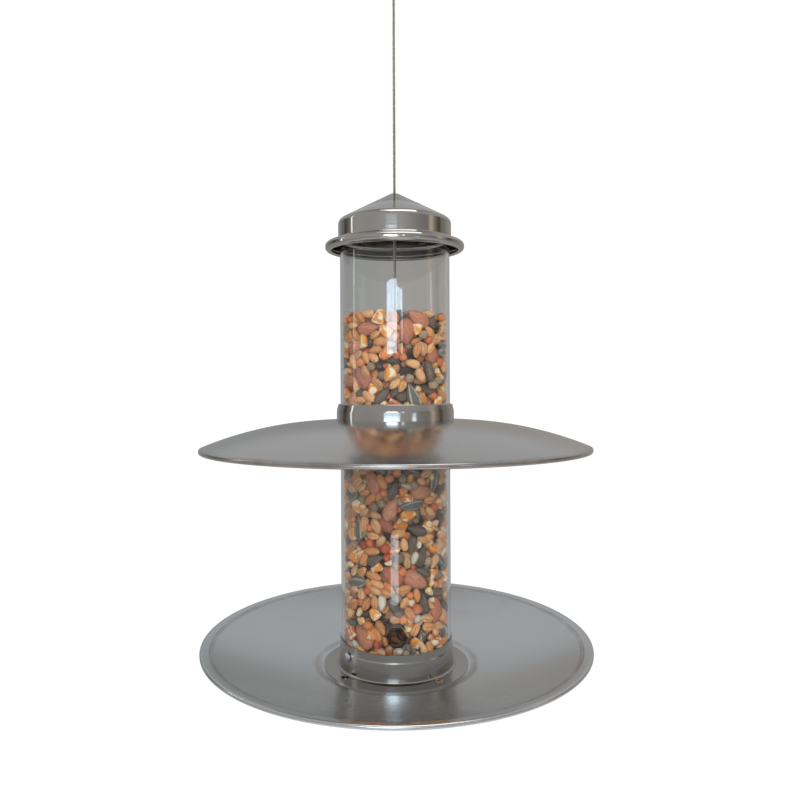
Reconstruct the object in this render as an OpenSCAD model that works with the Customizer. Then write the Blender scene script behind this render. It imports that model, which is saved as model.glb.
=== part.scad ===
// Hanging seed feeder: a clear tube of seed on a wide dish, with a rain roof round the tube and a
// conical lid that slides up the suspension cable for filling.
// Millimetres, +Z up. The origin is the point inside the suspension eye where a hook bears.
// Heights written as "z" in the modules are measured from the flat floor of the tray.

/* [Suspension] */
// Distance from the hook down to the flat floor of the tray
hang_drop = 532; // [520:1:600]
// Diameter of the stranded steel cable
cable_d = 2; // [1.6:0.1:2.2]
// Inner radius of the eye's thimble
eye_r = 7.5; // [7:0.1:8]
// Length of the crimped ferrule below the eye
ferrule_len = 12; // [9:1:14]
// Length of the crimped stop on the cable's lower end
stop_len = 6.3; // [5:0.1:6.5]

/* [Seed tube] */
// Outside diameter of the clear tube
tube_od = 80; // [79:0.1:80]
// Wall thickness of the clear tube
tube_wall = 2; // [2:0.5:3]
// Level of the seed above the tray floor
seed_level = 253; // [120:1:290]
// Diameter of each feeding port
port_d = 14; // [10:1:16]
// Height of the feeding ports' centres
port_z = 32; // [31:1:40]
// Number of feeding ports, evenly spaced from the front
port_count = 2; // [1:1:4]

/* [Sheet metal] */
// Thickness of the stainless sheet
sheet_t = 0.8; // [0.6:0.1:1]

/* [Tray] */
// Outside radius of the tray's rolled rim
tray_r = 138.9; // [130:0.1:160]
// Height of the top of the tray's rim
tray_rim_z = 21.9; // [18:0.1:26]
// Diameter of the tray's rolled rim
tray_bead_d = 3.2; // [3:0.1:4]
// Radius of the flat floor that the base ring stands in
recess_r = 54; // [53:0.5:56]
// Height of the seed deflector in the middle of the tray
deflector_h = 10; // [9:0.5:12]

/* [Base ring] */
// Height of the ring that holds the tube
ring_h = 20.2; // [19:0.1:22]
// Outside radius of the ring's flange
flange_r = 52.6; // [51:0.1:52.9]
// Radius of the circle that the rivets and drain holes lie on
rivet_circle_r = 45.6; // [45:0.1:48]
// Diameter of the two open holes in the flange
drain_d = 5.4; // [4:0.2:5.4]
// Diameter of the holes below them in the tray
tray_hole_d = 2.9; // [2.7:0.1:4.4]

/* [Roof] */
// Outside radius of the roof's rolled rim
roof_r = 139.2; // [120:0.1:160]
// Height of the roof's lowest edge
roof_rim_z = 156.1; // [140:0.1:165]
// Height of the roof's flat centre, where the collar stands
roof_top_z = 177.4; // [175:0.1:185]
// Height of the roof's collar
collar_h = 11.9; // [10:0.1:16]

/* [Lid] */
// Height of the lid's nose
lid_top_z = 342.6; // [335:0.1:360]
// Slope of the lid's cone, in degrees
lid_slope = 27.5; // [20:0.5:30]
// Outside radius of the lid's skirt
skirt_r = 41.3; // [41.3:0.1:42]
// Outside radius of the lid's brim
brim_r = 50.8; // [49:0.1:54]
// Height of the corner where the skirt turns out into the brim
brim_root_z = 308.8; // [307:0.1:312]
// Height of the brim's lowest edge
brim_low_z = 300.6; // [299:0.1:302]
// Angle at which the loose lid rests on the tube, lower at the front
lid_tilt = 3; // [0:0.5:3]

/* [Hidden] */
$fn = 96;

// Seed tube and its fill
tube_r = tube_od / 2;
tube_ir = tube_r - tube_wall;
seed_gap = 0.4;
seed_r = tube_ir - seed_gap;
port_pocket = 5;
cable_clear = 0.7;

// Lid, drawn on its outer face
nose_r = 3.1;
lid_hole_r = 2.6;
lid_pivot_z = 316;
knuckle_r = 4.5;
brim_bead_r = 3;
brim_fall = 2.2;
brim_curl = 4.6;
brim_curl_back = 2.2;
brim_root_bend_r = 1.5;
seat_gap = 0.3;
cone_foot_z = lid_top_z - (skirt_r - nose_r) * tan(lid_slope);
knuckle_c_z = cone_foot_z - knuckle_r * tan((90 - lid_slope) / 2);
seat_reach = tube_r - (skirt_r - knuckle_r);
seat_z = knuckle_c_z + sqrt(pow(knuckle_r - sheet_t, 2) - pow(seat_reach, 2));
tube_h = seat_z - seat_gap - tube_r * sin(lid_tilt);

// Base ring, its screws and its rivets
ring_gap = 0.05;
ring_r = tube_r + ring_gap + sheet_t;
swage_z = ring_h - 5.4;
swage_out = 0.4;
swage_half = 0.5;
ring_fillet_r = 1.6;
flange_drain_a = -51;
screw_a = -55;
screw_angles = [screw_a, screw_a + 180];
screw_z = 13;
screw_r = 1.75;
screw_hole_r = 1.9;
screw_head_r = 3.2;
screw_head_h = 1.9;
screw_head_edge = 0.6;
screw_len = 8;
cross_w = 0.9;
cross_l = 3.8;
cross_deep = 1.1;
cross_turn = 20;
nut_flats = 7;
nut_h = 2.8;
nut_face_r = tube_ir - 0.25;
rivet_r = 1.7;
rivet_roll_r = 2.7;
rivet_bore_r = 1.2;
rivet_sink_r = rivet_r + sheet_t;

// Tray
rim_low = tray_rim_z - tray_bead_d;
tray_bead_r = tray_bead_d / 2 - 0.25;
tray_curl_back = 1.4;
step_h = 1.6;
step_bend_r = 0.8;
deflector_top_bend_r = 2;
deflector_foot_bend_r = 4;
step_run = 5;
dish_curve_r = 250;
lip_w = 7.3;
lip_rise = 1.3;
bead_curl = 3.2;
deflector_flat_r = 7;
deflector_foot_r = 26;
flat_inset = 4;

// Roof
dome_curve_r = 250;
dome_flat_r = 45;
dome_knuckle = 6;
dome_knuckle_fall = 2.4;
dome_bead_r = 1.25;
dome_curl = 3.6;
dome_curl_back = 1.6;
roof_hole_r = tube_r + 0.5;
collar_top_r = tube_r + 1.7;
collar_r = tube_r + 2.8;
collar_top_bend_r = 0.9;
collar_side_bend_r = 6;
collar_taper_h = 5;
grip_gap = 0.05;
grip_chamfer = 0.5;
grip_room = 0.2;

// Cable, washer and stop
washer_r = 5;
washer_t = 1;
stop_r = 2.6;
stop_top_z = deflector_h - sheet_t - washer_t;
ferrule_r = 2;
leg_x = 1.1;
thimble_t = 0.6;
thimble_flange = 1.7;
thimble_w = 3.6;
ferrule_top = -29;

// Route of the cable's centre line as [x, z] from the hook, from the stop up to the eye and round it
cable_route = [
    [0, -530.6], [0, -500], [0, -465], [0, -430], [0, -395], [0, -360], [0, -325], [0, -290],
    [0, -255], [0, -220], [0, -185], [0, -150], [0, -115], [0, -80], [0, -46],
    [-1.1, -41], [-1.1, -35], [-1.1, -29.5], [-2.4, -25.8], [-4.7, -20.3], [-7, -14.8], [-8.6, -11],
    [-9.3, -7], [-8.8, -4.5], [-7.1, -1.5], [-4.6, 0.6], [-1.6, 1.7], [1.6, 1.7], [4.6, 0.6],
    [7.1, -1.5], [8.8, -4.5], [9.3, -7], [8.6, -11], [7, -14.8], [4.7, -20.3], [2.4, -25.8],
    [1.1, -29.5], [1.1, -35], [1.1, -40]
];

function unit(v) = v / norm(v);

// Left-hand normal of a plane vector
function left(v) = [-v[1], v[0]];

// Points of an arc about c, both ends included
function arc(c, r, a0, a1, n) = [for (i = [0:n]) let(a = a0 + (a1 - a0) * i / n) c + r * [cos(a), sin(a)]];

// The angle a, brought within half a turn of a0
function near_angle(a, a0) = a - a0 > 180 ? a - 360 : a0 - a > 180 ? a + 360 : a;

// An arc of radius r from p to q, bulging to the right of the way from p to q when r is positive
function bulge(p, q, r, n) =
    let(half = norm(q - p) / 2,
        c = (p + q) / 2 + sign(r) * sqrt(r * r - half * half) * left(unit(q - p)),
        a0 = atan2(p[1] - c[1], p[0] - c[0]),
        a1 = near_angle(atan2(q[1] - c[1], q[0] - c[0]), a0))
    arc(c, abs(r), a0, a1, n);

// The bend of radius r that rounds the corner q between p and s
function bend(p, q, s, r, n) =
    let(u = unit(p - q), v = unit(s - q),
        half = acos(u * v) / 2,
        c = q + unit(u + v) * r / sin(half),
        b = q + u * r / tan(half),
        e = q + v * r / tan(half),
        a0 = atan2(b[1] - c[1], b[0] - c[0]),
        a1 = near_angle(atan2(e[1] - c[1], e[0] - c[0]), a0))
    arc(c, r, a0, a1, n);

// An outline from corners [radius, height, bend radius]; a bend of 0 leaves the corner sharp
function bent(corners, n = 8) = [
    for (i = [0:len(corners) - 1])
        let(q = corners[i], at = [q[0], q[1]])
        each (q[2] == 0 ? [at]
            : bend([corners[i - 1][0], corners[i - 1][1]], at, [corners[i + 1][0], corners[i + 1][1]], q[2], n))
];

// Mean direction of a path at its point i
function heading(p, i) =
    let(a = i > 0 ? unit(p[i] - p[i - 1]) : [0, 0],
        b = i < len(p) - 1 ? unit(p[i + 1] - p[i]) : [0, 0])
    unit(a + b);

// A band of thickness t on the right of a path, as one closed outline
function band(p, t) = concat(p, [for (i = [len(p) - 1:-1:0]) p[i] - t * left(heading(p, i))]);

// Corners of a rolled rim that curls down and back in from its outer edge
function rolled(r, top, low, curl, back, bead_r) = [
    [r, top, bead_r],
    [r, low, bead_r],
    [r - curl, low, max(bead_r / 2, sheet_t + 0.1)],
    [r - curl, low + back, 0]
];

// A turned shell of sheet metal whose outer face follows the path
module spun(path) {
    rotate_extrude($fn = 144) polygon(band(path, sheet_t));
}

// Lifts heights measured from the tray floor into the hook's frame
module from_floor() {
    translate([0, 0, -hang_drop]) children();
}

// Turns a child that is drawn at the front, along -Y, by an angle towards +X
module around(angle) {
    rotate([0, 0, angle]) children();
}

// Places one of the two identical screws or nuts
module at_screw(i) {
    from_floor() around(screw_angles[i]) translate([0, 0, screw_z]) children();
}

// A radial hole or pocket from radius r0 to r1 at a height, facing the front
module radial(r, r0, r1, z, sides = 96) {
    translate([0, -r0, z]) rotate([90, 0, 0]) cylinder(r = r, h = r1 - r0, $fn = sides);
}

// Round holes through the flange and the tray, from below the floor to above the flange
module flange_holes(r, angle) {
    for (side = [0, 180]) around(angle + side)
        translate([0, -rivet_circle_r, -2]) cylinder(r = r, h = 5, $fn = 48);
}

module seed_tube() {
    color("lightcyan", 0.4) from_floor() difference() {
        cylinder(r = tube_r, h = tube_h, $fn = 180);
        translate([0, 0, -1]) cylinder(r = tube_ir, h = tube_h + 2, $fn = 180);
        for (i = [0:port_count - 1]) around(i * 360 / port_count)
            radial(port_d / 2, tube_ir - 2, tube_r + 2, port_z);
        for (a = screw_angles) around(a) radial(screw_hole_r, tube_ir - 2, tube_r + 2, screw_z, 48);
    }
}

module seed_fill() {
    color("peru") from_floor() difference() {
        translate([0, 0, seed_gap]) cylinder(r = seed_r, h = seed_level - seed_gap);
        translate([0, 0, -1]) cylinder(r = cable_d / 2 + cable_clear, h = seed_level + 2, $fn = 32);
        rotate_extrude() polygon([
            [0, 0], [deflector_foot_r + 1, 0], [deflector_foot_r + 1, seed_gap + 0.1],
            [deflector_flat_r + 1, deflector_h + seed_gap], [0, deflector_h + seed_gap]
        ]);
        for (i = [0:port_count - 1]) around(i * 360 / port_count)
            radial(port_d / 2 - 1, seed_r - port_pocket, tube_ir, port_z);
        for (a = screw_angles) around(a)
            radial(nut_flats / 2 + 1, nut_face_r - nut_h - 3, tube_ir, screw_z, 48);
    }
}

module base_ring() {
    color("lightslategray") from_floor() difference() {
        spun(bent([
            [ring_r, ring_h, 0],
            [ring_r, swage_z + swage_half, 0],
            [ring_r + swage_out, swage_z - swage_half, 0],
            [ring_r + swage_out, sheet_t, ring_fillet_r],
            [flange_r, sheet_t, 0]
        ]));
        flange_holes(drain_d / 2, flange_drain_a);
        flange_holes(rivet_r, flange_drain_a + 90);
        for (a = screw_angles) around(a) radial(screw_hole_r, tube_r - 1, ring_r + 2, screw_z, 48);
    }
}

module tray() {
    crease = [tray_r - lip_w, tray_rim_z - lip_rise];
    dish = concat(
        bent([
            [cable_d / 2 + cable_clear, deflector_h, 0],
            [deflector_flat_r, deflector_h, deflector_top_bend_r],
            [deflector_foot_r, 0, deflector_foot_bend_r],
            [deflector_foot_r + flat_inset, 0, 0],
            [recess_r - flat_inset, 0, 0],
            [recess_r, 0, step_bend_r],
            [recess_r + step_run, step_h, 0]
        ]),
        bulge([recess_r + step_run + sheet_t / 4, step_h], crease, dish_curve_r, 24)
    );
    rim = bent(concat([[crease[0], crease[1], 0]],
        rolled(tray_r, tray_rim_z, rim_low, bead_curl, tray_curl_back, tray_bead_r)));
    lip = [for (i = [1:len(rim) - 1]) rim[i]];
    color("silver") from_floor() difference() {
        spun(concat(dish, lip));
        flange_holes(tray_hole_d / 2, flange_drain_a);
        for (side = [0, 180]) around(flange_drain_a + 90 + side)
            translate([0, -rivet_circle_r, -2 * sheet_t])
                cylinder(r1 = rivet_sink_r + sheet_t, r2 = rivet_r - sheet_t, h = 3 * sheet_t, $fn = 48);
    }
}

// Pan-head screw through the ring and the tube, with a cross recess
module tube_screw() {
    head_face = ring_r + swage_out;
    tip = head_face - screw_len;
    difference() {
        union() {
            translate([0, -tip, 0]) rotate([90, 0, 0]) cylinder(r = screw_r, h = screw_len + 0.2, $fn = 48);
            translate([0, -head_face, 0]) rotate([90, 0, 0]) rotate_extrude($fn = 64) polygon(concat(
                [[0, 0], [screw_head_r, 0]],
                [for (a = [0:15:90])
                    [screw_head_r * cos(a), screw_head_edge + (screw_head_h - screw_head_edge) * sin(a)]]
            ));
        }
        for (turn = [cross_turn, cross_turn + 90])
            translate([0, -head_face - screw_head_h, 0]) rotate([0, turn, 0])
                cube([cross_l, 2 * cross_deep, cross_w], center = true);
    }
}

// Hex nut inside the tube, flat against its wall
module tube_nut() {
    translate([0, -nut_face_r + nut_h, 0]) rotate([90, 0, 0]) difference() {
        cylinder(r = nut_flats / sqrt(3), h = nut_h, $fn = 6);
        translate([0, 0, -1]) cylinder(r = screw_r + 0.05, h = nut_h + 2, $fn = 48);
    }
}

// Half-tubular rivet: countersunk below, flush with the tray, and rolled over on the flange
module tray_rivet() {
    translate([0, -rivet_circle_r, 0]) rotate_extrude($fn = 64) polygon(concat(
        [[0, -sheet_t], [rivet_sink_r, -sheet_t], [rivet_r, 0], [rivet_r, sheet_t], [rivet_roll_r, sheet_t]],
        arc([(rivet_roll_r + rivet_bore_r) / 2, sheet_t], (rivet_roll_r - rivet_bore_r) / 2, 20, 160, 8),
        [[rivet_bore_r, sheet_t], [rivet_bore_r, -sheet_t / 4], [0, -sheet_t / 4]]
    ));
}

module stop_washer() {
    color("gainsboro") from_floor() translate([0, 0, stop_top_z]) difference() {
        cylinder(r = washer_r, h = washer_t, $fn = 64);
        translate([0, 0, -1]) cylinder(r = cable_d / 2 + 0.3, h = washer_t + 2, $fn = 48);
    }
}

module cable_stop() {
    chamfer = 0.5;
    color("darkgray") from_floor() translate([0, 0, stop_top_z - stop_len]) difference() {
        union() {
            cylinder(r1 = stop_r - chamfer, r2 = stop_r, h = chamfer, $fn = 48);
            translate([0, 0, chamfer]) cylinder(r = stop_r, h = stop_len - 2 * chamfer, $fn = 48);
            translate([0, 0, stop_len - chamfer])
                cylinder(r1 = stop_r, r2 = stop_r - chamfer, h = chamfer, $fn = 48);
        }
        translate([0, 0, -1]) cylinder(r = cable_d / 2 + 0.03, h = stop_len + 2, $fn = 48);
    }
}

// A ring of the cable's tube, square to its route at point i
function cable_ring(i, sides) =
    let(at = cable_route[i], side = left(heading(cable_route, i)))
    [for (k = [0:sides - 1]) let(a = 360 * k / sides, across = cable_d / 2 * cos(a))
        [at[0] + side[0] * across, cable_d / 2 * sin(a), at[1] + side[1] * across]];

module suspension_cable() {
    sides = 8;
    rings = len(cable_route);
    points = [for (i = [0:rings - 1]) each cable_ring(i, sides)];
    walls = [for (i = [0:rings - 2]) for (k = [0:sides - 1])
        let(a = i * sides + k, b = i * sides + (k + 1) % sides)
        each [[a, b, b + sides], [a, b + sides, a + sides]]];
    color("dimgray") polyhedron(points = points, faces = concat(
        [[for (k = [sides - 1:-1:0]) k]],
        walls,
        [[for (k = [0:sides - 1]) (rings - 1) * sides + k]]
    ));
}

module eye_ferrule() {
    color("darkgray") translate([0, 0, ferrule_top - ferrule_len]) difference() {
        linear_extrude(ferrule_len) {
            for (x = [-leg_x, leg_x]) translate([x, 0]) circle(r = ferrule_r, $fn = 48);
            square([2 * leg_x, 2 * ferrule_r], center = true);
        }
        for (x = [-leg_x, leg_x])
            translate([x, 0, -1]) cylinder(r = cable_d / 2 + 0.03, h = ferrule_len + 2, $fn = 48);
    }
}

// The channel of the thimble: a strip that the cable lies on, with a flange on each side
module thimble_section() {
    translate([eye_r, -thimble_w / 2]) square([thimble_t, thimble_w]);
    for (side = [-1, 1]) translate([eye_r, side * (thimble_w - thimble_t) / 2 - thimble_t / 2])
        square([thimble_flange, thimble_t]);
}

module eye_thimble() {
    spread = 22.4;
    leg_len = 14;
    color("lightgray") translate([0, 0, -eye_r]) rotate([90, 0, 0]) {
        rotate([0, 0, -spread]) rotate_extrude(angle = 180 + 2 * spread, $fn = 96) thimble_section();
        for (side = [0, 1]) mirror([side, 0, 0]) rotate([0, 0, -spread])
            rotate([90, 0, 0]) linear_extrude(leg_len) thimble_section();
    }
}

module roof_dome() {
    edge_drop = dome_curve_r - sqrt(pow(dome_curve_r, 2) - pow(roof_r - dome_knuckle - dome_flat_r, 2));
    edge = [roof_r - dome_knuckle, roof_top_z - edge_drop];
    bow = bulge([dome_flat_r, roof_top_z], edge, -dome_curve_r, 28);
    rim = bent(concat([[edge[0], edge[1], 0]],
        rolled(roof_r, edge[1] - dome_knuckle_fall, roof_rim_z, dome_curl, dome_curl_back, dome_bead_r)));
    lip = [for (i = [1:len(rim) - 1]) rim[i]];
    color("darkgray") from_floor() spun(concat([[roof_hole_r, roof_top_z]], bow, lip));
}

module roof_collar() {
    top = roof_top_z + collar_h;
    color("silver") from_floor() spun(bent([
        [roof_hole_r, top, 0],
        [collar_top_r, top, collar_top_bend_r],
        [collar_r, top - collar_taper_h, collar_side_bend_r],
        [collar_r, roof_top_z, 0]
    ]));
}

module roof_grip_ring() {
    low = roof_top_z + grip_room;
    high = roof_top_z + collar_h - 2 * sheet_t;
    inner = tube_r + grip_gap;
    outer = collar_r - sheet_t - grip_room;
    color("black") from_floor() rotate_extrude($fn = 144) polygon([
        [inner, low + grip_chamfer], [inner + grip_chamfer, low],
        [outer, low], [outer, high - collar_taper_h],
        [collar_top_r - sheet_t - grip_room, high], [inner + grip_chamfer, high], [inner, high - grip_chamfer]
    ]);
}

module lid_shell() {
    color("gray") from_floor() translate([0, 0, lid_pivot_z]) rotate([lid_tilt, 0, 0])
        translate([0, 0, -lid_pivot_z]) spun(bent(concat(
            [[lid_hole_r, lid_top_z, 0], [nose_r, lid_top_z, 0],
             [skirt_r, cone_foot_z, knuckle_r], [skirt_r, brim_root_z, brim_root_bend_r]],
            rolled(brim_r, brim_root_z - brim_fall, brim_low_z, brim_curl, brim_curl_back, brim_bead_r)
        )));
}

seed_tube();
seed_fill();
base_ring();
tray();
color("whitesmoke") at_screw(0) tube_screw();  // tube_screw_1
color("whitesmoke") at_screw(1) tube_screw();  // tube_screw_2
color("lightgray") at_screw(0) tube_nut();  // tube_nut_1
color("lightgray") at_screw(1) tube_nut();  // tube_nut_2
color("goldenrod") from_floor() around(flange_drain_a + 90) tray_rivet();  // tray_rivet_1
color("goldenrod") from_floor() around(flange_drain_a + 270) tray_rivet();  // tray_rivet_2
stop_washer();
cable_stop();
suspension_cable();
eye_ferrule();
eye_thimble();
roof_dome();
roof_collar();
roof_grip_ring();
lid_shell();
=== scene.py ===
"""Looks of a hanging seed feeder: spun steel sheet, a clear tube of mixed seed and a stranded cable.

The pieces are worked out in millimetres, with heights above the flat floor of the tray, as in the CAD
model, and turned into metres when their meshes are made. The camera and the lights are in metres.
"""

import cmath
import math

import bpy
import numpy as np
from mathutils import Matrix, Vector


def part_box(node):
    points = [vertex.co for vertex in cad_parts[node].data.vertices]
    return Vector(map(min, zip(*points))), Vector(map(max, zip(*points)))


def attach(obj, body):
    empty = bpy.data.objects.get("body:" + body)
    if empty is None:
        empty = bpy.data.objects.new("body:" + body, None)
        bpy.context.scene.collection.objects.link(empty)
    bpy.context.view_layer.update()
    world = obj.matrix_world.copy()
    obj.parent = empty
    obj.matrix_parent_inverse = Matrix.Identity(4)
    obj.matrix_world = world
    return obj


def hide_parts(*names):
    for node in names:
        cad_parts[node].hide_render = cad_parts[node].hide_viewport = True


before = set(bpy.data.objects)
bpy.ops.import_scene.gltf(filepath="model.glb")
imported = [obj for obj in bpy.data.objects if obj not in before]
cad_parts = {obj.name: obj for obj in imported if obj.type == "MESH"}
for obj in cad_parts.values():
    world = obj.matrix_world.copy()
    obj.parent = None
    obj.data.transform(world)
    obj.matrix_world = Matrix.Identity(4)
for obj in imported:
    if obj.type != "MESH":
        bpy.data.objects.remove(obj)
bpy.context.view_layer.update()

MM = 0.001
floor_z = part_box("seed_tube")[0].z


def size_of(node):
    """Outer radius, lowest and highest height of a turned CAD node, in mm above the tray floor."""
    low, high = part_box(node)
    return high.x / MM, (low.z - floor_z) / MM, (high.z - floor_z) / MM


# Driving sizes, from the CAD nodes
tube_r, _, tube_h = size_of("seed_tube")
seed_box_r, _, seed_level = size_of("seed_fill")
flange_r, _, ring_h = size_of("base_ring")
tray_r, _, tray_rim_z = size_of("tray")
roof_r, roof_rim_z, roof_top_z = size_of("roof_dome")
collar_r, _, collar_top_z = size_of("roof_collar")
brim_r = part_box("lid_shell")[1].x / MM

# Sizes that the boxes don't give, in mm and degrees
sheet_t = 0.8
seed_gap = 0.4
tube_ir = seed_box_r + seed_gap
cable_hole_r = 1.7
rivet_circle_r = 45.6
drain_r = 2.7
rivet_r = 1.7
drain_angles = (-51, 129)
rivet_angles = (39, 219)
port_r = 7
port_z = 32
port_angles = (0, 180)
screw_angles = (-55, 125)
screw_z = 13
cable_d = 2
tray_hole_r = 1.45
lid_top_z = 342.6
lid_hole_r = 2.6
lid_nose_r = 3.1
lid_pivot_z = 316
lid_tilt = 3
brim_root_z = 308.8
brim_low_z = 300.6
swage_z = ring_h - 5.4
swage_out = 0.4
swage_half = 0.5
ring_gap = 0.05
ring_r = tube_r + ring_gap + sheet_t
ring_fillet_r = 43
recess_r = 54
crease_r = tray_r - 7.3
crease_z = tray_rim_z - 1.3
screw_hole_r = 1.9
roof_gap = 0.5
cut_reach = 3
crisp_edge = 35


# ---------------------------------------------------------------- camera

def make_camera():
    """A level camera in front of the feeder, a little above the middle of its body."""
    data = bpy.data.cameras.new("camera")
    data.sensor_width = 36
    data.lens = 30.2
    data.shift_x = 0.00975
    data.shift_y = -0.0066
    data.clip_start = 0.01
    camera = bpy.data.objects.new("camera", data)
    bpy.context.scene.collection.objects.link(camera)
    place = Matrix.Translation((-0.00224, -0.4923, floor_z + 0.1959))
    level = Matrix.Rotation(math.radians(90), 4, "X")
    roll = Matrix.Rotation(math.radians(-0.24), 4, "Z")
    camera.matrix_world = place @ level @ roll
    bpy.context.scene.camera = camera


make_camera()


# ---------------------------------------------------------------- meshes

def add_mesh(name, points, faces, body, replaced=()):
    """A smooth piece of quads that rides on a body and stands for CAD nodes."""
    mesh = bpy.data.meshes.new(name)
    points = np.asarray(points, np.float32)
    faces = np.asarray(faces, np.int32)
    mesh.vertices.add(len(points))
    mesh.vertices.foreach_set("co", points.ravel())
    mesh.loops.add(faces.size)
    mesh.loops.foreach_set("vertex_index", faces.ravel())
    mesh.polygons.add(len(faces))
    mesh.polygons.foreach_set("loop_start", np.arange(0, faces.size, faces.shape[1], dtype=np.int32))
    mesh.polygons.foreach_set("use_smooth", np.ones(len(faces), bool))
    mesh.update(calc_edges=True)
    piece = bpy.data.objects.new(name, mesh)
    bpy.context.scene.collection.objects.link(piece)
    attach(piece, body)
    if replaced:
        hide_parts(*replaced)
    return piece


def grid_faces(rows, columns, wrap_rows):
    """Quads between rows of points, where each row is a closed ring of columns."""
    faces = []
    for i in range(rows if wrap_rows else rows - 1):
        a = i * columns
        b = (i + 1) % rows * columns
        for j in range(columns):
            k = (j + 1) % columns
            faces.append((a + j, a + k, b + k, b + j))
    return faces


def sharpen(piece):
    """Keeps a piece's edges crisp where its faces meet at more than a small angle."""
    piece.data.set_sharp_from_angle(angle=math.radians(crisp_edge))


def lathe(name, outline, body, replaced=(), steps=360):
    """A closed outline of radius + height * 1j, in mm above the tray floor, turned round the axis."""
    angles = np.arange(steps) * 2 * math.pi / steps
    points = []
    for p in outline:
        ring = np.empty((steps, 3))
        ring[:, 0] = p.real * MM * np.cos(angles)
        ring[:, 1] = p.real * MM * np.sin(angles)
        ring[:, 2] = p.imag * MM + floor_z
        points.append(ring)
    area = sum((a.conjugate() * b).imag for a, b in zip(outline, outline[1:] + outline[:1]))
    faces = np.array(grid_faces(len(outline), steps, True))
    if area < 0:
        faces = faces[:, ::-1]
    piece = add_mesh(name, np.concatenate(points), faces, body, replaced)
    sharpen(piece)
    return piece


def direction(a, b):
    """The unit step from a towards b."""
    return (b - a) / abs(b - a)


def bend(p, q, s, r, steps):
    """The arc of radius r that rounds the corner q between p and s."""
    u = direction(q, p)
    v = direction(q, s)
    half = math.acos((u * v.conjugate()).real) / 2
    centre = q + direction(0, u + v) * r / math.sin(half)
    start = cmath.phase(q + u * r / math.tan(half) - centre)
    end = cmath.phase(q + v * r / math.tan(half) - centre)
    turn = (end - start + math.pi) % (2 * math.pi) - math.pi
    return [centre + cmath.rect(r, start + turn * i / steps) for i in range(steps + 1)]


def bent(corners, steps=14):
    """A path through corners (radius, height, bend radius), rounded at each corner that has a bend."""
    path = []
    for i, (r, z, bend_r) in enumerate(corners):
        at = complex(r, z)
        if bend_r == 0:
            path.append(at)
        else:
            before = complex(*corners[i - 1][:2])
            after = complex(*corners[i + 1][:2])
            path += bend(before, at, after, bend_r, steps)
    return path


def bulge(p, q, r, steps):
    """An arc from p to q that bulges to the right of its way when r is positive."""
    half = abs(q - p) / 2
    centre = (p + q) / 2 + math.copysign(math.sqrt(r * r - half * half), r) * direction(p, q) * 1j
    start = cmath.phase(p - centre)
    turn = (cmath.phase(q - centre) - start + math.pi) % (2 * math.pi) - math.pi
    return [centre + cmath.rect(abs(r), start + turn * i / steps) for i in range(steps + 1)]


def band(path, thickness=sheet_t):
    """The closed outline of a sheet that lies on the right of its path."""
    other = []
    for i, p in enumerate(path):
        before = direction(path[i - 1], p) if i else 0
        after = direction(p, path[i + 1]) if i < len(path) - 1 else 0
        other.append(p - thickness * 1j * direction(0, before + after))
    return path + other[::-1]


def rolled(r, top, low, curl, back, bead_r):
    """Corners of a rolled rim that curls down and back in from its outer edge."""
    return [
        (r, top, bead_r),
        (r, low, bead_r),
        (r - curl, low, max(bead_r / 2, sheet_t + 0.1)),
        (r - curl, low + back, 0),
    ]


def drill(piece, radius, start, end):
    """Cuts a round hole of a radius between two points, all in mm above the tray floor."""
    start = Vector(start) * MM + Vector((0, 0, floor_z))
    end = Vector(end) * MM + Vector((0, 0, floor_z))
    steps = 64
    angles = np.arange(steps) * 2 * math.pi / steps
    circle = [Vector((radius * MM * math.cos(a), radius * MM * math.sin(a), 0)) for a in angles]
    turn = (end - start).to_track_quat("Z", "Y")
    points = [turn @ p + start for p in circle] + [turn @ p + end for p in circle]
    faces = grid_faces(2, steps, False) + [tuple(range(steps))[::-1], tuple(range(steps, 2 * steps))]
    mesh = bpy.data.meshes.new("cutter")
    mesh.from_pydata(points, [], faces)
    cutter = bpy.data.objects.new("cutter", mesh)
    bpy.context.scene.collection.objects.link(cutter)
    cut = piece.modifiers.new("hole", "BOOLEAN")
    cut.operation = "DIFFERENCE"
    cut.solver = "EXACT"
    cut.object = cutter
    bpy.context.view_layer.update()
    done = bpy.data.meshes.new_from_object(piece.evaluated_get(bpy.context.evaluated_depsgraph_get()))
    piece.modifiers.remove(cut)
    piece.data = done
    bpy.data.objects.remove(cutter)


def polar(radius, angle, z):
    """A point at an angle from the front towards +X, in mm."""
    a = math.radians(angle)
    return radius * math.sin(a), -radius * math.cos(a), z


def drill_floor(piece, radius, angles):
    """Cuts upright holes on the circle of the rivets."""
    for angle in angles:
        low = polar(rivet_circle_r, angle, -cut_reach)
        high = polar(rivet_circle_r, angle, cut_reach)
        drill(piece, radius, low, high)


def drill_wall(piece, radius, angles, z):
    """Cuts level holes through the tube's wall."""
    for angle in angles:
        inside = polar(tube_ir - cut_reach, angle, z)
        outside = polar(tube_r + cut_reach, angle, z)
        drill(piece, radius, inside, outside)


# ---------------------------------------------------------------- cable

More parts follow.
